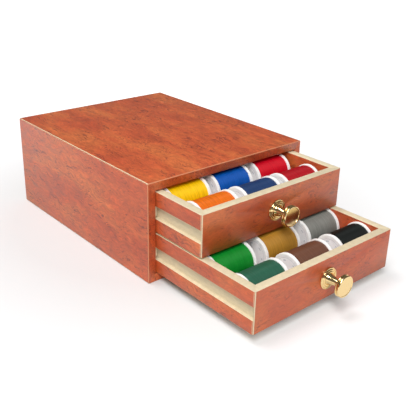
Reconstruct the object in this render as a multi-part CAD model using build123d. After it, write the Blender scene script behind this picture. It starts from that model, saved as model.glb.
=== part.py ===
from build123d import *
import os

# A table-top box for embroidery thread: a mitred case, two drawers that hang on side
# runners, and rows of wound bobbins lying across each drawer. All sizes in millimetres.
# X runs across the front, -Y points out of the front and Z is up. The origin is the
# middle of the case's underside.

# --- Bobbins --------------------------------------------------------------------------
flange_radius = 16.5
flange_thickness = 3.2
core_radius = 8.0
thread_below_rim = 0.8  # how far a full package stays below the flange's rim
thread_length = 38.0
shown_sides = 20        # flats round a bobbin in the rows at the front
stored_sides = 12       # flats round a bobbin in the rows behind them

# --- How the bobbins lie in a drawer --------------------------------------------------
count_across = 3
shown_row_count = 2
stored_row_count = 3
lower_left_room = 1.0   # the lower drawer's bobbins fill its width
lower_bobbin_gap = 11.6
lower_right_room = 0.6
upper_left_room = 3.1   # the upper drawer's lie closer together
upper_bobbin_gap = 8.0
front_room = 2.0
row_gap = 7.0
rear_room = 15.5
head_room = 1.0

# --- Drawer walls and floor -----------------------------------------------------------
wall_thickness = 8.0
wall_corner_ease = 1.1
floor_thickness = 3.0
floor_lip = 1.5         # wall left below the floor's slot
slot_depth = 3.0
slot_play = 0.2
floor_edge_play = 0.3

# --- Side grooves and runners ---------------------------------------------------------
groove_lift = 12.7      # groove's lower edge above the drawer's lower edge
groove_height = 12.0
groove_depth = 4.0
runner_top_play = 0.2
runner_bottom_play = 0.8
runner_side_play = 0.5
runner_setback = 3.9    # runner's front end behind the case front: the drawer's stop

# --- Case -----------------------------------------------------------------------------
board_thickness = 8.0
board_corner_ease = 0.9
board_front_ease = 0.5
side_gap = 1.0
bottom_gap = 1.0
middle_gap = 1.5
top_gap = 1.5
drawer_rear_gap = 1.5

# --- Fasteners ------------------------------------------------------------------------
screw_fit = 0.05        # radial clearance of a screw in its hole
knob_screw_head = 3.8
knob_screw_shank = 1.95
knob_screw_length = 15.0
screw_tip = 1.5

# --- Knobs ----------------------------------------------------------------------------
rosette_radius = 10.0
rosette_thickness = 1.4
boss_rise = 0.8         # from the rosette's rim to the foot of the stem
stem_foot_radius = 5.0
stem_neck_radius = 2.5
collar_radius = 3.8
collar_height = 0.8
collar_drop = 1.4       # from the head's rim back to the collar
knob_head_radius = 10.0
knob_head_start = 14.6  # underside of the head's rim, out from the drawer front
knob_head_thickness = 4.6
rim_height = 1.8
waist_depth = 0.7       # groove between the head's rim and its cap
waist_half_height = 0.5
cap_inset = 0.2         # how much smaller the cap is than the rim
knob_thread_depth = 8.5

# --- How far each drawer stands open in the rest pose ----------------------------------
upper_open = 60.0
lower_open = 123.0

# --- Sizes that follow ----------------------------------------------------------------
thread_radius = flange_radius - thread_below_rim
bobbin_length = thread_length + 2 * flange_thickness
lower_pitch = bobbin_length + lower_bobbin_gap
upper_pitch = bobbin_length + upper_bobbin_gap
row_pitch = 2 * flange_radius + row_gap
row_count = shown_row_count + stored_row_count

inner_width = lower_left_room + count_across * lower_pitch - lower_bobbin_gap + lower_right_room
inner_length = front_room + row_count * row_pitch - row_gap + rear_room
drawer_width = inner_width + 2 * wall_thickness
drawer_length = inner_length + 2 * wall_thickness
floor_top = floor_lip + floor_thickness
drawer_height = floor_top + 2 * flange_radius + head_room

opening_width = drawer_width + 2 * side_gap
opening_height = bottom_gap + middle_gap + top_gap + 2 * drawer_height
case_width = opening_width + 2 * board_thickness
case_height = opening_height + 2 * board_thickness
case_depth = drawer_length + drawer_rear_gap + board_thickness
case_front = -case_depth / 2

lower_level = board_thickness + bottom_gap
upper_level = lower_level + drawer_height + middle_gap

runner_thickness = side_gap + groove_depth - runner_side_play
runner_height = groove_height - runner_top_play - runner_bottom_play
runner_length = case_depth - board_thickness - runner_setback


def against(point, outward, along):
    """Plane whose -Y looks outward and whose Z runs along the board."""
    inward = -Vector(*outward)
    return Plane(origin=point, x_dir=inward.cross(Vector(*along)), z_dir=along)


def box(low, high):
    """Block between two opposite corners."""
    size = [b - a for a, b in zip(low, high)]
    middle = [(a + b) / 2 for a, b in zip(low, high)]
    return Pos(*middle) * Box(*size)


def turned(points):
    """Solid turned about the Z axis from (radius, height) points."""
    outline = Polyline(*[(radius, 0, height) for radius, height in points], close=True)
    return revolve(make_face(outline), Axis.Z)


def mitred_board(span, thickness, ease, length):
    """Board along Z, good face at y = 0, both long edges mitred and eased at the corner."""
    half = span / 2
    right = [(half - ease, 0), (half - ease / 2, ease / 2), (half - thickness, thickness)]
    left = [(-x, y) for x, y in reversed(right)]
    return extrude(make_face(Polyline(*right, *left, close=True)), length)


def case_board(span):
    """One of the four boards round the case, its front edge eased."""
    board = mitred_board(span, board_thickness, board_corner_ease, case_depth)
    front_edges = board.edges().filter_by(Axis.X).group_by(Axis.Z)[0]
    return chamfer(front_edges.sort_by(Axis.Y)[0], board_front_ease)


def screw_profile(head, shank, length, tip):
    """Countersunk screw: head face at z = 0, pointing down."""
    cone = head - shank
    return [(0, 0), (head, 0), (shank, -cone), (shank, tip - length), (0, -length)]


def screw(head, shank, length):
    return turned(screw_profile(head, shank, length, screw_tip))


def screw_hole(head, shank, length):
    """What a countersunk screw needs cut away, with its clearance."""
    return turned(screw_profile(head + screw_fit, shank + screw_fit, length + screw_fit, 0))


def runner(side, level):
    """Rail glued to one side of the case, that a drawer's groove hangs on."""
    wall = side * opening_width / 2
    face = side * (opening_width / 2 - runner_thickness)
    start = case_front + runner_setback
    foot = level + groove_lift + runner_bottom_play
    return box(
        (min(wall, face), start, foot),
        (max(wall, face), start + runner_length, foot + runner_height),
    )


def case_side(side):
    middle = (side * case_width / 2, case_front, case_height / 2)
    return against(middle, (side, 0, 0), (0, 1, 0)) * case_board(case_height)


def case_level(height, facing):
    """The top (facing 1) or the bottom (facing -1)."""
    return against((0, case_front, height), (0, 0, facing), (0, 1, 0)) * case_board(case_width)


def case_back():
    return box(
        (-opening_width / 2, case_front + case_depth - board_thickness, board_thickness),
        (opening_width / 2, case_front + case_depth, case_height - board_thickness),
    )


# Drawers are built closed, with the outside of the front at y = 0 and the lower edge at z = 0.

def drawer_wall(span):
    """Drawer wall standing on z = 0 with the slot for the floor cut in its inner face."""
    wall = mitred_board(span, wall_thickness, wall_corner_ease, drawer_height)
    slot = box(
        (-span / 2, wall_thickness - slot_depth, floor_lip),
        (span / 2, wall_thickness, floor_top + slot_play),
    )
    return wall - slot


def drawer_side(side):
    """Side wall with its groove, which runs out through the back and stops at the front."""
    wall = drawer_wall(drawer_length)
    groove = box(
        (-drawer_length / 2, 0, groove_lift),
        (drawer_length / 2, groove_depth, groove_lift + groove_height),
    )
    place = against((side * drawer_width / 2, drawer_length / 2, 0), (side, 0, 0), (0, 0, 1))
    return place * (wall - groove)


def drawer_back():
    """Back wall, notched at both ends where the runners enter the grooves."""
    wall = drawer_wall(drawer_width)
    for side in (-1, 1):
        ends = sorted([side * drawer_width / 2, side * (drawer_width / 2 - groove_depth)])
        wall -= box(
            (ends[0], 0, groove_lift),
            (ends[1], wall_thickness, groove_lift + groove_height),
        )
    return against((0, drawer_length, 0), (0, 1, 0), (0, 0, 1)) * wall


def knob_axis(out):
    """Plane on the knob's axis, at a distance out from the drawer front, Z pointing out."""
    return Plane(origin=(0, -out, drawer_height / 2), z_dir=(0, -1, 0))


def knob_screw_plane():
    """Head face of the knob's screw, flush with the inside of the front, pointing out."""
    return Plane(origin=(0, wall_thickness, drawer_height / 2), z_dir=(0, 1, 0))


def drawer_front():
    hole = screw_hole(knob_screw_head, knob_screw_shank, knob_screw_length)
    return drawer_wall(drawer_width) - knob_screw_plane() * hole


def drawer_floor():
    reach = slot_depth - floor_edge_play
    half = inner_width / 2 + reach
    return box(
        (-half, wall_thickness - reach, floor_lip),
        (half, drawer_length - wall_thickness + reach, floor_top),
    )


def knob():
    """Turned knob: rosette, stem that narrows outwards, disc head with a double rim."""
    neck = knob_head_start - collar_drop
    waist = knob_head_start + rim_height + waist_half_height
    cap_radius = knob_head_radius - cap_inset
    face = knob_head_start + knob_head_thickness
    body = turned([
        (0, 0),
        (rosette_radius, 0),
        (rosette_radius, rosette_thickness),
        (stem_foot_radius, rosette_thickness + boss_rise),
        (stem_neck_radius, neck - collar_height),
        (collar_radius, neck),
        (knob_head_radius, knob_head_start),
        (knob_head_radius, waist - waist_half_height),
        (knob_head_radius - waist_depth, waist),
        (cap_radius, waist + waist_half_height),
        (cap_radius, face),
        (0, face),
    ])
    threaded = Cylinder(knob_screw_shank + screw_fit, knob_thread_depth)
    return knob_axis(0) * (body - Pos(0, 0, knob_thread_depth / 2) * threaded)


def knob_screw():
    return knob_screw_plane() * screw(knob_screw_head, knob_screw_shank, knob_screw_length)


def bobbin_plane(lay, row, place):
    """Left end of a bobbin, Z along its axis, counting rows from the front."""
    left_room, pitch = lay
    left = -inner_width / 2 + left_room + place * pitch
    middle = wall_thickness + front_room + flange_radius + row * row_pitch
    height = floor_top + flange_radius
    return Plane(origin=(left, middle, height), x_dir=(0, 1, 0), z_dir=(1, 0, 0))


def flats(radius, sides, length, start=0.0):
    """Many-sided rod that lies on one of its flats."""
    outline = RegularPolygon(radius, sides, major_radius=False, rotation=180 / sides)
    return Pos(0, 0, start) * extrude(outline, length)


def bobbin(sides):
    """Core between two flanges, its ends closed by their labels."""
    far_flange = bobbin_length - flange_thickness
    return (
        flats(core_radius, sides, bobbin_length)
        + flats(flange_radius, sides, flange_thickness)
        + flats(flange_radius, sides, flange_thickness, far_flange)
    )


def thread(sides):
    """Wound thread between the flanges, tight on the core."""
    package = flats(thread_radius, sides, thread_length, flange_thickness)
    return package - flats(core_radius, sides, thread_length, flange_thickness)


def row_of(form, lay, row):
    """The same solid at every place of one row."""
    return [bobbin_plane(lay, row, place) * form for place in range(count_across)]


def drawer(name, lay, thread_colours):
    """Every piece of one drawer by name, with its bobbins laid out by room at the left and pitch."""
    pieces = {
        f"{name}_drawer_front": drawer_front(),
        f"{name}_drawer_back": drawer_back(),
        f"{name}_drawer_left_side": drawer_side(-1),
        f"{name}_drawer_right_side": drawer_side(1),
        f"{name}_drawer_floor": drawer_floor(),
        f"{name}_knob": knob(),
        f"{name}_knob_screw": knob_screw(),
    }
    shown_bobbin = bobbin(shown_sides)
    shown_thread = thread(shown_sides)
    for count, colour in enumerate(thread_colours):
        place = bobbin_plane(lay, *divmod(count, count_across))
        pieces[f"{name}_{colour}_bobbin"] = place * shown_bobbin
        pieces[f"{name}_{colour}_thread"] = place * shown_thread
    stored_bobbin = bobbin(stored_sides)
    stored_thread = thread(stored_sides)
    stored_rows = range(shown_row_count, row_count)
    stored_bobbins = [one for row in stored_rows for one in row_of(stored_bobbin, lay, row)]
    pieces[f"{name}_stored_bobbins"] = Compound(stored_bobbins)
    for row in stored_rows:
        pieces[f"{name}_stored_thread_row_{row + 1}"] = Compound(row_of(stored_thread, lay, row))
    return pieces


def case():
    pieces = {
        "case_left_side": case_side(-1),
        "case_right_side": case_side(1),
        "case_top": case_level(case_height, 1),
        "case_bottom": case_level(0, -1),
        "case_back": case_back(),
    }
    for level_name, level in (("upper", upper_level), ("lower", lower_level)):
        for side_name, side in (("left", -1), ("right", 1)):
            pieces[f"{level_name}_{side_name}_runner"] = runner(side, level)
    return pieces


upper_colours = ["orange", "navy", "crimson", "yellow", "royal_blue", "red"]
lower_colours = ["dark_green", "brown", "black", "green", "gold", "grey"]

box_pieces = case()
for name, lay, colours, level, opened in (
    ("upper", (upper_left_room, upper_pitch), upper_colours, upper_level, upper_open),
    ("lower", (lower_left_room, lower_pitch), lower_colours, lower_level, lower_open),
):
    place = Pos(0, case_front - opened, level)
    pieces = drawer(name, lay, colours)
    box_pieces.update({piece: place * solid for piece, solid in pieces.items()})

os.makedirs("parts", exist_ok=True)
for name, solid in box_pieces.items():
    export_step(solid, f"parts/{name}.step")
print(len(box_pieces), "pieces; case", case_width, "x", case_depth, "x", case_height)
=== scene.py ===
"""The looks of an embroidery thread drawer box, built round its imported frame."""

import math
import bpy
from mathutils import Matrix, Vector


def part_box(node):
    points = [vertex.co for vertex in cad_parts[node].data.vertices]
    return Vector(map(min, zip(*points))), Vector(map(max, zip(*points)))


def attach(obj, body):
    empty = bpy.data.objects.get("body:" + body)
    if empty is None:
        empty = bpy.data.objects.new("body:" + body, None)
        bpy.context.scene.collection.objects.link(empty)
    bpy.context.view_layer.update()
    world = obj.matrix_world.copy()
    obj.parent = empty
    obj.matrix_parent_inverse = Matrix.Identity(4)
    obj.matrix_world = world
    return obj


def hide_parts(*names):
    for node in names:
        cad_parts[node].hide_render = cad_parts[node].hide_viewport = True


bl_info = {
    "name": "Thread Drawer Box",
    "version": (1, 0, 0),
    "blender": (4, 5, 0),
    "location": "View3D > Sidebar > Thread Box",
    "description": "Finishes a two-drawer embroidery thread box with its bobbins",
    "category": "Object",
}

import bpy
from bpy.props import FloatProperty, FloatVectorProperty, IntProperty, PointerProperty
from mathutils import Matrix, Vector

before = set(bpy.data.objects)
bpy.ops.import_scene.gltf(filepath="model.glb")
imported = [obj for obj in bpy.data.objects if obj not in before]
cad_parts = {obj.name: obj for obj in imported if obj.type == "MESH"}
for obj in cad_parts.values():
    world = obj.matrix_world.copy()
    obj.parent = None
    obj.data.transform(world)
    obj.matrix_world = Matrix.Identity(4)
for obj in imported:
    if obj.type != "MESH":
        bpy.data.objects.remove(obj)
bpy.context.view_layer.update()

MM = 0.001
MERGE_GAP = 0.002 * MM
DRAWERS = ("upper", "lower")

# --- Thread colours -------------------------------------------------------------------

SHOWN_THREADS = {
    "upper": {
        "orange": "#DE6A0C",
        "navy": "#1D3864",
        "crimson": "#A70A19",
        "yellow": "#FACB0A",
        "royal_blue": "#0A54AD",
        "red": "#CE0A23",
    },
    "lower": {
        "dark_green": "#275B46",
        "brown": "#684332",
        "black": "#101412",
        "green": "#118A2C",
        "gold": "#B58330",
        "grey": "#81817B",
    },
}
STORED_THREADS = {
    "upper": {
        3: ("#E8829A", "#D94F7E", "#F2B2B8"),
        4: ("#7B4FA0", "#9C7CC4", "#4B2E73"),
        5: ("#2A9AA0", "#1D6E86", "#7CC6C0"),
    },
    "lower": {
        3: ("#7C8440", "#A3A860", "#56602C"),
        4: ("#4E6A8C", "#86A0BC", "#33475F"),
        5: ("#7D2340", "#A04A52", "#4F1C2C"),
    },
}

# --- Outlines of the turned pieces, in mm: distance along the axis, radius ------------

KNOB_STEPS = 96
KNOB_ROSETTE = (
    (0.0, 0.0), (0.0, 9.7), (0.25, 9.95), (0.6, 10.0), (1.0, 9.95), (1.35, 9.6), (1.4, 9.2),
)
KNOB_OUTER_RING = (
    (1.05, 8.95), (1.05, 8.75), (1.6, 8.4), (1.85, 7.95), (1.75, 7.55), (1.25, 7.3),
)
KNOB_INNER_RING = (
    (1.25, 7.1), (1.85, 6.7), (2.1, 6.25), (2.0, 5.85), (1.6, 5.6), (1.65, 5.45),
)
KNOB_STEM = (
    (2.2, 5.15), (2.6, 4.95), (4.5, 4.35), (6.5, 3.8), (9.0, 3.15), (11.4, 2.6), (12.2, 2.5),
)
KNOB_COLLAR = (
    (12.4, 2.65), (12.6, 3.2), (12.95, 3.7), (13.3, 3.8), (13.6, 3.6), (13.8, 3.3),
)
KNOB_HEAD = (
    (14.0, 3.6), (14.3, 5.5), (14.55, 7.6), (14.7, 8.8), (14.95, 9.6), (15.25, 9.92),
    (15.7, 10.0), (16.1, 9.9), (16.35, 9.5), (16.5, 9.1),
)
KNOB_CAP = (
    (16.8, 9.1), (17.0, 9.5), (17.3, 9.78), (18.2, 9.8), (18.75, 9.7), (19.05, 9.45),
    (19.2, 9.0), (19.1, 8.5), (18.85, 8.3), (18.85, 8.1), (18.95, 0.0),
)
KNOB_OUTLINE = (KNOB_ROSETTE + KNOB_OUTER_RING + KNOB_INNER_RING + KNOB_STEM + KNOB_COLLAR
                + KNOB_HEAD + KNOB_CAP)

BOBBIN_CORE = 8.0
LABEL_EDGE = 13.6
LABEL_DEPTH = 0.12
PRINTED_LINE = (12.4, 12.75)
PRINTED_MARKS = (9.6, 10.9)


def bobbin_outline(length, flange, rim):
    """Both ends of a bobbin: sunk label, rounded rim, and the core between the flanges."""
    end = [(LABEL_DEPTH, radius) for radius in (0.0, *PRINTED_MARKS, *PRINTED_LINE, LABEL_EDGE)]
    end += [(0.0, LABEL_EDGE + 0.15), (0.0, rim - 0.8), (0.12, rim - 0.35), (0.45, rim - 0.05),
            (0.9, rim), (flange - 0.8, rim), (flange - 0.4, rim - 0.08), (flange - 0.1, rim - 0.4),
            (flange, rim - 0.9), (flange, BOBBIN_CORE)]
    return end + [(length - along, radius) for along, radius in reversed(end)]


def linear(code):
    """An sRGB hex colour as linear RGBA."""
    shares = [int(code[n:n + 2], 16) / 255 for n in (1, 3, 5)]
    return (*(s / 12.92 if s <= 0.04045 else ((s + 0.055) / 1.055) ** 2.4 for s in shares), 1.0)


def length_setting(name, description, default):
    """A user's size in metres, given here in mm."""
    return FloatProperty(name=name, description=description, default=default * MM,
                         min=0.0, precision=5, unit="LENGTH")


def colour_setting(name, description, code):
    """A user's colour, given here as sRGB hex."""
    return FloatVectorProperty(name=name, description=description, default=linear(code),
                               size=4, min=0.0, max=1.0, subtype="COLOR")


class ThreadBoxSizes(bpy.types.PropertyGroup):
    board_edge: length_setting("Board edge", "Width broken off the boards' sharp edges", 0.15)
    ridge_pitch: length_setting("Thread ridge", "Distance between the ridges of wound thread", 0.7)
    ridge_height: length_setting("Ridge height", "How far a ridge of thread stands up", 0.02)
    package_drop: length_setting("Package drop", "How much lower the thread lies at its ends", 0.35)
    cloud: length_setting("Burl cloud", "Size of the laminate's soft patches of colour", 26)
    mottle: length_setting("Burl mottle", "Size of the laminate's small changes of colour", 5)
    wisp: length_setting("Burl wisp", "Width of the laminate's dark wisps", 1.7)
    fleck: length_setting("Burl fleck", "Width of the laminate's small dark flecks", 1.6)
    turn_steps: IntProperty(name="Turn steps", description="Faces round a turned piece",
                            default=64, min=16, max=256)


class ThreadBoxColours(bpy.types.PropertyGroup):
    burl: colour_setting("Burl", "Main colour of the printed laminate", "#C25728")
    burl_light: colour_setting("Light burl", "Lighter patches of the laminate", "#CB6831")
    burl_dark: colour_setting("Dark burl", "Darker patches of the laminate", "#B54A23")
    burl_wisp: colour_setting("Burl wisp", "Dark wisps along the grain", "#6E2A1C")
    burl_fleck: colour_setting("Burl fleck", "Small dark flecks of the laminate", "#55231C")
    # Painted highlight: a lighter colour, between the laminate's and the core's, on the band's eased
    # front edges.
    burl_edge_highlight: colour_setting("Band edge", "Rubbed edge of the band on the case front", "#D08C66")
    core: colour_setting("Core", "Bare fibreboard where the laminate is cut", "#DFCFAE")
    rail: colour_setting("Runner", "Wood of the runners", "#EBE0C8")
    brass: colour_setting("Brass", "Knobs", "#EED298")
    steel: colour_setting("Zinc steel", "Screws", "#C4C6C8")
    plastic: colour_setting("Bobbin plastic", "Bobbins", "#F8F8F6")
    label: colour_setting("Label", "Paper on the bobbins' ends", "#FDFDFD")
    ink: colour_setting("Ink", "Grey print on the labels", "#D3D6DA")
    floor: colour_setting("Floor", "Surface under the box", "#DEDEDE")


# --- Shader helpers -------------------------------------------------------------------

def add_node(tree, kind, inputs=None, stops=None, **settings):
    """Add one shader node with its settings, its values and the links into it."""
    made = tree.nodes.new("ShaderNode" + kind)
    for key, value in settings.items():
        setattr(made, key, value)
    for key, value in (inputs or {}).items():
        if isinstance(value, bpy.types.NodeSocket):
            tree.links.new(value, made.inputs[key])
        else:
            made.inputs[key].default_value = value
    for number, (position, colour) in enumerate(stops or ()):
        element = made.color_ramp.elements
        stop = element[number] if number < 2 else element.new(position)
        stop.position, stop.color = position, colour
    return made


def new_material(name):
    material = bpy.data.materials.new(name)
    material.use_nodes = True
    material.node_tree.nodes.clear()
    return material, material.node_tree


def close_material(material, tree, shader):
    add_node(tree, "OutputMaterial", {"Surface": shader.outputs[0]})
    return material


def grey(value):
    return (value, value, value, 1.0)


def object_place(tree):
    """Where a point lies on its own piece, in metres."""
    return add_node(tree, "TexCoord").outputs["Object"]


def drawn_out(tree, place, scale, shift=(0.0, 0.0, 0.0)):
    """A place whose patterns are drawn out along the axes that have a small scale."""
    inputs = {"Vector": place, "Location": shift, "Scale": scale}
    return add_node(tree, "Mapping", inputs).outputs[0]


def noise(tree, place, size, detail, **inputs):
    """Noise whose patches are about this large."""
    return add_node(tree, "TexNoise", {"Vector": place, "Scale": 1.0 / size, "Detail": detail,
                                       **{key.title(): value for key, value in inputs.items()}})


def patches(tree, place, size, detail=2.0, **inputs):
    """How far a point is into a patch of noise, from 0 to 1."""
    return noise(tree, place, size, detail, **inputs).outputs["Fac"]


def waved(tree, place, size, reach):
    """A place pushed about by up to this reach, so that a straight grain waves."""
    push = noise(tree, place, size, 2.0).outputs["Color"]
    push = add_node(tree, "VectorMath", {0: push, 1: (reach,) * 3}, operation="MULTIPLY")
    return add_node(tree, "VectorMath", {0: place, 1: push.outputs[0]}, operation="ADD").outputs[0]


def levels(tree, value, low, high, to_low=0.0, to_high=1.0):
    """A value carried over from one range to another, and held at the ends."""
    return add_node(tree, "MapRange", {"Value": value, "From Min": low, "From Max": high,
                                       "To Min": to_low, "To Max": to_high}).outputs[0]


def product(tree, first, second):
    return add_node(tree, "Math", {0: first, 1: second}, operation="MULTIPLY").outputs[0]


def blend(tree, share, first, second):
    return add_node(tree, "Mix", {0: share, 6: first, 7: second}, data_type="RGBA").outputs[2]


def tinted(tree, colour, share):
    """A colour made lighter or darker all over by a changing share."""
    if not isinstance(colour, bpy.types.NodeSocket):
        colour = tuple(colour)[:3]
    return add_node(tree, "VectorMath", {0: colour, 1: share}, operation="MULTIPLY").outputs[0]


def bumped(tree, height, strength, depth):
    inputs = {"Height": height, "Strength": strength, "Distance": depth}
    return add_node(tree, "Bump", inputs).outputs[0]


# --- Materials ------------------------------------------------------------------------

def burl_laminate(name, grain, flame, wisps, flecks, shift=(0.0, 0.0, 0.0)):
    """Melamine laminate printed as red burl, with a satin face: soft orange and red patches,
    dark wisps that wave along the grain, and dark flecks that gather in places."""
    sizes, colours = bpy.context.scene.thread_box_sizes, bpy.context.scene.thread_box_colours
    material, tree = new_material(name)
    place = object_place(tree)
    along = drawn_out(tree, waved(tree, place, size=18 * MM, reach=12 * MM), grain, shift)
    far_along = drawn_out(tree, along, grain)

    cloud = patches(tree, along, sizes.cloud, 4.0, distortion=0.6)
    ground = add_node(tree, "ValToRGB", {"Fac": cloud}, stops=(
        (0.32, colours.burl_dark), (0.5, colours.burl), (0.68, colours.burl_light))).outputs[0]
    mottle = patches(tree, along, sizes.mottle, 5.0, roughness=0.65, distortion=1.0)
    lines = patches(tree, far_along, sizes.wisp, 4.0, roughness=0.7, distortion=0.6)
    shades = [levels(tree, figure, 0.3, 0.7, 1 - flame, 1 + flame) for figure in (mottle, lines)]
    ground = tinted(tree, ground, product(tree, *shades))

    wisp = patches(tree, far_along, sizes.wisp, distortion=0.8)
    gathered = patches(tree, along, sizes.cloud / 2)
    share = product(tree, levels(tree, wisp, 0.54, 0.64),
                    levels(tree, gathered, 0.44, 0.58, 0.05, wisps))
    figured = blend(tree, share, ground, colours.burl_wisp)

    fleck = patches(tree, along, sizes.fleck)
    crowded = patches(tree, place, sizes.cloud, 3.0)
    share = product(tree, levels(tree, fleck, 0.55, 0.72),
                    levels(tree, crowded, 0.52, 0.62, 0.0, flecks))
    printed = blend(tree, share, figured, colours.burl_fleck)

    uneven = patches(tree, place, 4 * MM, 3.0)
    shader = add_node(tree, "BsdfPrincipled", {
        "Base Color": printed, "Roughness": levels(tree, mottle, 0.3, 0.7, 0.38, 0.48),
        "IOR": 1.5, "Specular IOR Level": 0.8, "Normal": bumped(tree, uneven, 0.03, 0.2 * MM)})
    return close_material(material, tree, shader)


def bare_board(name, colour, grain):
    """Sawn and sanded pale board: dull, with faint fine fibres along its length."""
    material, tree = new_material(name)
    fibre = patches(tree, drawn_out(tree, object_place(tree), grain), 1.4 * MM, 4.0, roughness=0.65)
    shader = add_node(tree, "BsdfPrincipled", {
        "Base Color": tinted(tree, colour, levels(tree, fibre, 0.25, 0.75, 0.86, 1.06)),
        "Roughness": 0.62, "Normal": bumped(tree, fibre, 0.25, 0.1 * MM)})
    return close_material(material, tree, shader)


def polished_brass(name):
    """Turned brass, machine polished: a mirror that is clouded a little here and there."""
    material, tree = new_material(name)
    clouding = patches(tree, object_place(tree), 0.5 * MM, 3.0)
    shader = add_node(tree, "BsdfPrincipled", {
        "Base Color": bpy.context.scene.thread_box_colours.brass, "Metallic": 1.0,
        "Roughness": levels(tree, clouding, 0.0, 1.0, 0.07, 0.17)})
    return close_material(material, tree, shader)


def zinc_steel(name):
    """Zinc-plated screw steel: grey metal with a slightly cloudy plating."""
    material, tree = new_material(name)
    plating = patches(tree, object_place(tree), 0.8 * MM)
    shader = add_node(tree, "BsdfPrincipled", {
        "Base Color": bpy.context.scene.thread_box_colours.steel, "Metallic": 1.0,
        "Roughness": levels(tree, plating, 0.0, 1.0, 0.28, 0.45)})
    return close_material(material, tree, shader)


def moulded_polystyrene(name):
    """White polystyrene from a polished mould: even and bright, with a soft moulding ripple."""
    material, tree = new_material(name)
    ripple = patches(tree, object_place(tree), 2.5 * MM)
    shader = add_node(tree, "BsdfPrincipled", {
        "Base Color": bpy.context.scene.thread_box_colours.plastic, "IOR": 1.55,
        "Roughness": levels(tree, ripple, 0.0, 1.0, 0.26, 0.4),
        "Normal": bumped(tree, ripple, 0.06, 0.1 * MM)})
    return close_material(material, tree, shader)


def label_paper(name):
    """Coated label paper: white and matt, with a faint mottle."""
    material, tree = new_material(name)
    colour = bpy.context.scene.thread_box_colours.label
    mottle = patches(tree, object_place(tree), 1.2 * MM, 3.0)
    shader = add_node(tree, "BsdfPrincipled", {
        "Base Color": tinted(tree, colour, levels(tree, mottle, 0.3, 0.7, 0.97, 1.02)),
        "Roughness": 0.5})
    return close_material(material, tree, shader)


def printing_ink(name):
    """Grey offset ink on the labels, thin enough that the paper's mottle shows through."""
    material, tree = new_material(name)
    colour = bpy.context.scene.thread_box_colours.ink
    thin = patches(tree, object_place(tree), 0.5 * MM, 3.0)
    shader = add_node(tree, "BsdfPrincipled", {
        "Base Color": tinted(tree, colour, levels(tree, thin, 0.3, 0.7, 0.85, 1.2)),
        "Roughness": 0.55})
    return close_material(material, tree, shader)


def embroidery_thread(name, code):
    """Trilobal polyester thread, tightly wound: a silky band of light in the thread's own colour
    along the package, and fine lines round it where one turn lies beside the next."""
    material, tree = new_material(name)
    colour = linear(code)
    round_package = drawn_out(tree, object_place(tree), (1.0, 0.04, 0.04))
    turns = patches(tree, round_package, 0.8 * MM, 4.0, roughness=0.7)
    sheen = tuple(0.2 + 0.8 * share for share in colour[:3])
    shader = add_node(tree, "BsdfPrincipled", {
        "Base Color": tinted(tree, colour, levels(tree, turns, 0.3, 0.7, 0.76, 1.22)),
        "Roughness": 0.45, "IOR": 1.5, "Specular IOR Level": 1.0, "Specular Tint": (*sheen, 1.0),
        "Anisotropic": 0.95, "Anisotropic Rotation": 0.25,
        "Tangent": add_node(tree, "Tangent", direction_type="RADIAL", axis="X").outputs[0],
        "Normal": bumped(tree, turns, 0.3, 0.1 * MM)})
    return close_material(material, tree, shader)


def background_rays(tree):
    """1 for the rays that look at the background: the camera's, and those off metal or glass."""
    path = add_node(tree, "LightPath")
    share = path.outputs["Is Camera Ray"]
    for kind in ("Is Glossy Ray", "Is Transmission Ray"):
        share = add_node(tree, "Math", {0: share, 1: path.outputs[kind]},
                         operation="MAXIMUM").outputs[0]
    return path, share


def studio_floor(name):
    """Seamless white paper: matt, and away from the box lifted to the backdrop's white for the rays
    that look at it; the lift fades out towards the box, which paints a shadow round it beside its
    own."""
    material, tree = new_material(name)
    paper = add_node(tree, "BsdfDiffuse", {"Color": bpy.context.scene.thread_box_colours.floor})
    away = add_node(tree, "VectorMath", {0: object_place(tree)}, operation="LENGTH").outputs["Value"]
    _, seen = background_rays(tree)
    # Painted shadow: the lift fades from 0.6 m to none at 0.15 m from the middle, so the floor round
    # the box is darker.
    backdrop_lift_and_painted_shadow = product(tree, seen, levels(tree, away, 0.15, 0.6, 0.0, 0.62))
    glow = add_node(tree, "Emission", {"Color": grey(1.0), "Strength": backdrop_lift_and_painted_shadow})
    shader = add_node(tree, "AddShader", {0: paper.outputs[0], 1: glow.outputs[0]})
    return close_material(material, tree, shader)


# --- Modelling helpers ----------------------------------------------------------------

def only(piece):
    """Make one object the whole selection."""
    bpy.ops.object.select_all(action="DESELECT")
    piece.select_set(True)
    bpy.context.view_layer.objects.active = piece


def add_piece(name, mesh):
    piece = bpy.data.objects.new(name, mesh)
    bpy.context.scene.collection.objects.link(piece)
    mesh.name = name
    return piece


def settle(piece, body, slot, *nodes):
    """Smooth a finished piece, let it ride on its body and stand for its CAD nodes."""
    only(piece)
    bpy.ops.object.shade_smooth_by_angle(angle=math.radians(35))
    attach(piece, body)
    if nodes:
        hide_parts(*nodes)


def eased_board(node):
    """A board copied from its CAD node, merged, with its sharp edges broken."""
    piece = add_piece(node + "_board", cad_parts[node].data.copy())
    piece.data.materials.clear()
    only(piece)
    bpy.ops.object.mode_set(mode="EDIT")
    bpy.ops.mesh.select_all(action="SELECT")
    bpy.ops.mesh.remove_doubles(threshold=MERGE_GAP)
    bpy.ops.mesh.dissolve_limited(angle_limit=math.radians(1))
    bpy.ops.object.mode_set(mode="OBJECT")
    bevel = piece.modifiers.new("broken edge", "BEVEL")
    bevel.width = bpy.context.scene.thread_box_sizes.board_edge
    bevel.segments = 2
    bevel.limit_method = "ANGLE"
    bevel.angle_limit = math.radians(40)
    bpy.ops.object.modifier_apply(modifier=bevel.name)
    return piece


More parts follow.
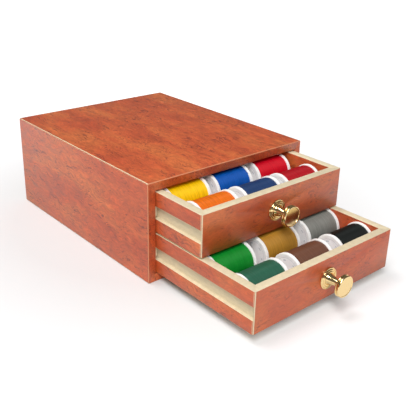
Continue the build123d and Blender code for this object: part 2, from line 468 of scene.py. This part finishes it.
def face_laminate(piece, axis, laminate, core, band_edge=None):
    """Laminate on a board's two broad faces, and on its front edge if it has a band there, whose
    eased edges carry a painted highlight in a lighter colour; bare core elsewhere. A side's laminate
    also laps its half of the eased corner."""
    for material in (laminate, core, band_edge):
        if material:
            piece.data.materials.append(material)
    low = [min(v.co[n] for v in piece.data.vertices) for n in range(3)]
    high = [max(v.co[n] for v in piece.data.vertices) for n in range(3)]
    near, corner_reach, square = 0.02 * MM, 0.7 * MM, 0.99
    for face in piece.data.polygons:
        depth = min(face.center[axis] - low[axis], high[axis] - face.center[axis])
        broad = abs(face.normal[axis]) > square and depth < near
        band = band_edge and face.normal.y < -square and face.center.y - low[1] < near
        lapped = axis == 0 and 0.6 < abs(face.normal.x) < 0.8 and depth < corner_reach
        # The eased faces along a band's front edge get the painted highlight colour.
        painted_highlight = band_edge and -square <= face.normal.y < -0.1
        face.material_index = 2 if painted_highlight else 0 if broad or band or lapped else 1


def turned_mesh(name, outline, steps):
    """Turn an outline of (along, radius) points, in mm, once round the X axis."""
    bpy.ops.object.select_all(action="DESELECT")
    bpy.ops.mesh.primitive_plane_add(size=MM, location=(0, 0, 0))
    piece = bpy.context.active_object
    bpy.ops.object.mode_set(mode="EDIT")
    bpy.ops.mesh.select_all(action="SELECT")
    bpy.ops.mesh.merge(type="CENTER")
    bpy.ops.transform.translate(value=(outline[0][0] * MM, 0, outline[0][1] * MM))
    for (start, inner), (end, outer) in zip(outline, outline[1:]):
        move = ((end - start) * MM, 0, (outer - inner) * MM)
        bpy.ops.mesh.extrude_region_move(TRANSFORM_OT_translate={"value": move})
    bpy.ops.mesh.select_all(action="SELECT")
    bpy.ops.mesh.spin(steps=steps, angle=math.tau, center=(0, 0, 0), axis=(1, 0, 0))
    bpy.ops.mesh.select_all(action="SELECT")
    bpy.ops.mesh.remove_doubles(threshold=MERGE_GAP)
    bpy.ops.mesh.normals_make_consistent(inside=False)
    bpy.ops.object.mode_set(mode="OBJECT")
    mesh = piece.data
    mesh.name = name
    bpy.data.objects.remove(piece)
    return mesh


def moved_copy(mesh, matrix):
    copy = mesh.copy()
    copy.transform(matrix)
    return copy


def joined(name, meshes):
    """One piece out of several placed meshes."""
    parts = [add_piece(name, mesh) for mesh in meshes]
    only(parts[0])
    for part in parts[1:]:
        part.select_set(True)
    if len(parts) > 1:
        bpy.ops.object.join()
    return parts[0]


# --- Where the bobbins lie ------------------------------------------------------------

def bobbin_place(drawer, colour):
    """Left end and axis of a bobbin in the front rows, from its CAD node."""
    low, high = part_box(f"{drawer}_{colour}_bobbin")
    return Matrix.Translation((low.x, (low.y + high.y) / 2, (low.z + high.z) / 2))


def stored_places(drawer, row):
    """Left ends of the bobbins of a stored row: in line with those in front of them."""
    low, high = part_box(f"{drawer}_stored_thread_row_{row}")
    columns = list(SHOWN_THREADS[drawer])[:3]
    lefts = [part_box(f"{drawer}_{colour}_bobbin")[0].x for colour in columns]
    return [Matrix.Translation((x, (low.y + high.y) / 2, (low.z + high.z) / 2)) for x in lefts]


def bobbin_sizes():
    """Length, flange thickness and rim radius of a bobbin, and radius of its thread, in mm."""
    low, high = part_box("upper_orange_bobbin")
    thread_low, thread_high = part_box("upper_orange_thread")
    return ((high.x - low.x) / MM, (thread_low.x - low.x) / MM, (high.z - low.z) / 2 / MM,
            (thread_high.z - thread_low.z) / 2 / MM)


# --- Operators ------------------------------------------------------------------------

class THREADBOX_OT_case(bpy.types.Operator):
    """Finish the five boards of the case in burl laminate"""
    bl_idname = "threadbox.case"
    bl_label = "Case boards"

    def execute(self, context):
        colours = context.scene.thread_box_colours
        laminate = burl_laminate("burl_laminate_case", (1.0, 0.3, 1.0), flame=0.26, wisps=0.85,
                                 flecks=0.75)
        core = bare_board("cut_fibreboard_case", colours.core, (1, 0.1, 1))
        # Painted highlight for the eased front edges of the band, in a lighter colour.
        painted_highlight = bare_board("band_edge_painted_highlight", colours.burl_edge_highlight, (0.3, 1, 0.3))
        for node, axis in (("case_left_side", 0), ("case_right_side", 0), ("case_top", 2),
                           ("case_bottom", 2), ("case_back", 1)):
            piece = eased_board(node)
            face_laminate(piece, axis, laminate, core, None if node == "case_back" else painted_highlight)
            settle(piece, "case", "burl_laminate", node)
        return {"FINISHED"}


class THREADBOX_OT_runners(bpy.types.Operator):
    """Finish the four wooden runners"""
    bl_idname = "threadbox.runners"
    bl_label = "Runners"

    def execute(self, context):
        wood = bare_board("planed_runner_wood", context.scene.thread_box_colours.rail, (1, 0.06, 1))
        for drawer in DRAWERS:
            for side in ("left", "right"):
                node = f"{drawer}_{side}_runner"
                piece = eased_board(node)
                piece.data.materials.append(wood)
                settle(piece, "case", "pale_wood", node)
        return {"FINISHED"}


class THREADBOX_OT_drawers(bpy.types.Operator):
    """Finish the walls and floors of both drawers"""
    bl_idname = "threadbox.drawers"
    bl_label = "Drawers"

    def execute(self, context):
        across = burl_laminate("burl_laminate_fronts", (0.4, 1.0, 1.0), flame=0.15, wisps=0.5,
                               flecks=0.7)
        along = burl_laminate("burl_laminate_sides", (1.0, 0.35, 1.0), flame=0.2, wisps=0.6,
                              flecks=0.7, shift=(0.0, 0.0, 0.4))
        core = bare_board("cut_fibreboard_drawers", context.scene.thread_box_colours.core,
                          (0.3, 0.3, 1))
        for drawer in DRAWERS:
            for wall, axis, laminate in (("front", 1, across), ("back", 1, across),
                                         ("left_side", 0, along), ("right_side", 0, along),
                                         ("floor", 2, along)):
                node = f"{drawer}_drawer_{wall}"
                piece = eased_board(node)
                face_laminate(piece, axis, laminate, core)
                slot = "floor_board" if wall == "floor" else "burl_laminate"
                settle(piece, drawer + "_drawer", slot, node)
        return {"FINISHED"}


class THREADBOX_OT_knobs(bpy.types.Operator):
    """Turn the two brass knobs and finish their screws"""
    bl_idname = "threadbox.knobs"
    bl_label = "Knobs"

    def execute(self, context):
        brass, steel = polished_brass("polished_brass"), zinc_steel("zinc_knob_screws")
        mesh = turned_mesh("knob", KNOB_OUTLINE, KNOB_STEPS)
        for drawer in DRAWERS:
            low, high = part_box(drawer + "_knob")
            seat = Matrix.Translation(((low.x + high.x) / 2, high.y, (low.z + high.z) / 2))
            outwards = Matrix.Rotation(math.radians(-90), 4, "Z")
            piece = add_piece(drawer + "_turned_knob", moved_copy(mesh, seat @ outwards))
            piece.data.materials.append(brass)
            settle(piece, drawer + "_drawer", "brass", drawer + "_knob")
            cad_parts[drawer + "_knob_screw"].material_slots[0].material = steel
        return {"FINISHED"}


class THREADBOX_OT_bobbins(bpy.types.Operator):
    """Turn the white bobbins with their end labels and lay them in the drawers"""
    bl_idname = "threadbox.bobbins"
    bl_label = "Bobbins"

    def execute(self, context):
        length, flange, rim, _ = bobbin_sizes()
        steps = context.scene.thread_box_sizes.turn_steps
        mesh = turned_mesh("bobbin", bobbin_outline(length, flange, rim), steps)
        for material in (moulded_polystyrene("moulded_polystyrene"), label_paper("label_paper"),
                         printing_ink("printing_ink")):
            mesh.materials.append(material)
        for face in mesh.polygons:
            face.material_index = self.material_of(face, length, steps)
        for drawer in DRAWERS:
            body = drawer + "_drawer"
            for colour in SHOWN_THREADS[drawer]:
                piece = add_piece(f"bobbin_{drawer}_{colour}",
                                  moved_copy(mesh, bobbin_place(drawer, colour)))
                settle(piece, body, "white_plastic", f"{drawer}_{colour}_bobbin")
            places = [p for row in STORED_THREADS[drawer] for p in stored_places(drawer, row)]
            piece = joined(f"bobbins_{drawer}_stored", [moved_copy(mesh, p) for p in places])
            settle(piece, body, "white_plastic", drawer + "_stored_bobbins")
        return {"FINISHED"}

    def material_of(self, face, length, steps):
        """0 plastic, 1 label paper, 2 ink: a line round the label and a ring of plain marks."""
        x, y, z = face.center / MM
        radius = math.hypot(y, z)
        if min(x, length - x) > LABEL_DEPTH + 0.01 or radius > LABEL_EDGE:
            return 0
        turn = int((math.atan2(z, y) + math.pi) / math.tau * steps)
        scattered = turn * turn % 11 < 3
        marked = PRINTED_MARKS[0] < radius < PRINTED_MARKS[1] and scattered
        lined = PRINTED_LINE[0] < radius < PRINTED_LINE[1]
        return 2 if marked or lined else 1


class THREADBOX_OT_threads(bpy.types.Operator):
    """Wind the thread on every bobbin"""
    bl_idname = "threadbox.threads"
    bl_label = "Threads"

    def execute(self, context):
        mesh = self.package(context.scene.thread_box_sizes)
        for drawer in DRAWERS:
            body = drawer + "_drawer"
            for colour, code in SHOWN_THREADS[drawer].items():
                wound = moved_copy(mesh, bobbin_place(drawer, colour))
                wound.materials.append(embroidery_thread(f"polyester_{colour}", code))
                piece = add_piece(f"thread_{drawer}_{colour}", wound)
                settle(piece, body, f"thread_{colour}", f"{drawer}_{colour}_thread")
            for row, codes in STORED_THREADS[drawer].items():
                meshes = []
                for number, (place, code) in enumerate(zip(stored_places(drawer, row), codes)):
                    wound = moved_copy(mesh, place)
                    name = f"polyester_{drawer}_{row}_{number + 1}"
                    wound.materials.append(embroidery_thread(name, code))
                    meshes.append(wound)
                piece = joined(f"thread_{drawer}_row_{row}", meshes)
                settle(piece, body, f"thread_{drawer}_row_{row}", f"{drawer}_stored_thread_row_{row}")
        return {"FINISHED"}

    def package(self, sizes):
        """The wound package: ridged, and a little lower towards the flanges."""
        full_length, left, _, radius = bobbin_sizes()
        length = full_length - 2 * left
        half_turns = round(length / (sizes.ridge_pitch / MM) * 2)
        ridge_height, drop = sizes.ridge_height / MM, sizes.package_drop / MM
        wound = [(left, BOBBIN_CORE)]
        for step in range(half_turns + 1):
            share = step / half_turns
            sunk = abs(2 * share - 1) ** 8 * drop
            ridge = step % 2 * ridge_height
            wound.append((left + share * length, radius - ridge_height - sunk + ridge))
        wound += [(left + length, BOBBIN_CORE), (left, BOBBIN_CORE)]
        return turned_mesh("package", wound, sizes.turn_steps)


class THREADBOX_OT_stage(bpy.types.Operator):
    """Set the floor, the soft lights, the world and the camera"""
    bl_idname = "threadbox.stage"
    bl_label = "Stage"

    # Name, place and width in metres, and power in watts.
    softboxes = (
        ("overhead_softbox", (-1.2, 1.5, 6.0), 2.6, 130.0),
        ("corner_softbox", (-3.2, -3.9, 4.8), 2.8, 190.0),
        ("upper_softbox", (-2.9, -1.7, 5.8), 2.6, 178.0),
    )
    fill_light = 0.3
    # The photograph's camera, fitted to the corners of the case and the drawers: metres,
    # degrees, millimetres, and a share of the picture's width.
    camera_place = (-0.3961, -0.5338, 0.3096)
    azimuth, elevation, roll = -41.50, 22.73, 1.59
    lens, shift = 56.96, -0.05

    def execute(self, context):
        self.floor()
        self.world(context)
        for softbox in self.softboxes:
            self.lamp(*softbox)
        self.camera(context)
        context.scene.view_settings.view_transform = "Standard"
        return {"FINISHED"}

    def floor(self):
        bpy.ops.object.select_all(action="DESELECT")
        bpy.ops.mesh.primitive_plane_add(size=12.0, location=(0, 0, 0))
        floor = bpy.context.active_object
        floor.name = "studio_floor"
        floor.data.materials.append(studio_floor("seamless_paper"))

    def world(self, context):
        world = bpy.data.worlds.new("studio")
        world.use_nodes = True
        world.node_tree.nodes.clear()
        tree = world.node_tree
        path, seen = background_rays(tree)
        # What metal mirrors: a white horizon under a dimmer studio.
        facing = add_node(tree, "TexCoord").outputs["Generated"]
        height = add_node(tree, "SeparateXYZ", {0: facing}).outputs["Z"]
        dimmer_above = levels(tree, height, -0.02, 0.04, 1.0, 0.15)
        level = levels(tree, seen, 0.0, 1.0, self.fill_light, dimmer_above)
        level = levels(tree, path.outputs["Is Camera Ray"], 0.0, 1.0, level, 1.0)
        light = add_node(tree, "Background", {"Color": grey(1.0), "Strength": level})
        add_node(tree, "OutputWorld", {"Surface": light.outputs[0]})
        context.scene.world = world

    def lamp(self, name, place, size, power):
        data = bpy.data.lights.new(name, "AREA")
        data.shape, data.size, data.energy = "DISK", size, power
        lamp = bpy.data.objects.new(name, data)
        lamp.location = place
        lamp.rotation_euler = Vector(place).to_track_quat("Z", "Y").to_euler()
        bpy.context.scene.collection.objects.link(lamp)

    def camera(self, context):
        data = bpy.data.cameras.new("camera")
        data.sensor_width, data.lens, data.shift_y = 36.0, self.lens, self.shift
        data.clip_start = 0.01
        camera = bpy.data.objects.new("camera", data)
        turn = (Matrix.Rotation(math.radians(self.azimuth), 4, "Z")
                @ Matrix.Rotation(math.radians(90 - self.elevation), 4, "X")
                @ Matrix.Rotation(math.radians(self.roll), 4, "Z"))
        camera.matrix_world = Matrix.Translation(self.camera_place) @ turn
        context.scene.collection.objects.link(camera)
        context.scene.camera = camera


class THREADBOX_PT_panel(bpy.types.Panel):
    """Lists the box's sizes, colours and the pieces that can be built"""
    bl_idname = "THREADBOX_PT_panel"
    bl_label = "Thread Drawer Box"
    bl_space_type = "VIEW_3D"
    bl_region_type = "UI"
    bl_category = "Thread Box"

    def draw(self, context):
        for group in (context.scene.thread_box_sizes, context.scene.thread_box_colours):
            column = self.layout.column(align=True)
            for key in group.__annotations__:
                column.prop(group, key)
        for operator in OPERATORS:
            self.layout.operator(operator.bl_idname)


OPERATORS = (
    THREADBOX_OT_stage,
    THREADBOX_OT_case,
    THREADBOX_OT_runners,
    THREADBOX_OT_drawers,
    THREADBOX_OT_knobs,
    THREADBOX_OT_bobbins,
    THREADBOX_OT_threads,
)
CLASSES = (ThreadBoxSizes, ThreadBoxColours, *OPERATORS, THREADBOX_PT_panel)


def register():
    for cls in CLASSES:
        bpy.utils.register_class(cls)
    bpy.types.Scene.thread_box_sizes = PointerProperty(type=ThreadBoxSizes)
    bpy.types.Scene.thread_box_colours = PointerProperty(type=ThreadBoxColours)


def unregister():
    del bpy.types.Scene.thread_box_colours
    del bpy.types.Scene.thread_box_sizes
    for cls in reversed(CLASSES):
        bpy.utils.unregister_class(cls)


def main():
    register()
    bpy.ops.threadbox.stage()
    bpy.ops.threadbox.case()
    bpy.ops.threadbox.runners()
    bpy.ops.threadbox.drawers()
    bpy.ops.threadbox.knobs()
    bpy.ops.threadbox.bobbins()
    bpy.ops.threadbox.threads()


if __name__ == "__main__":
    main()
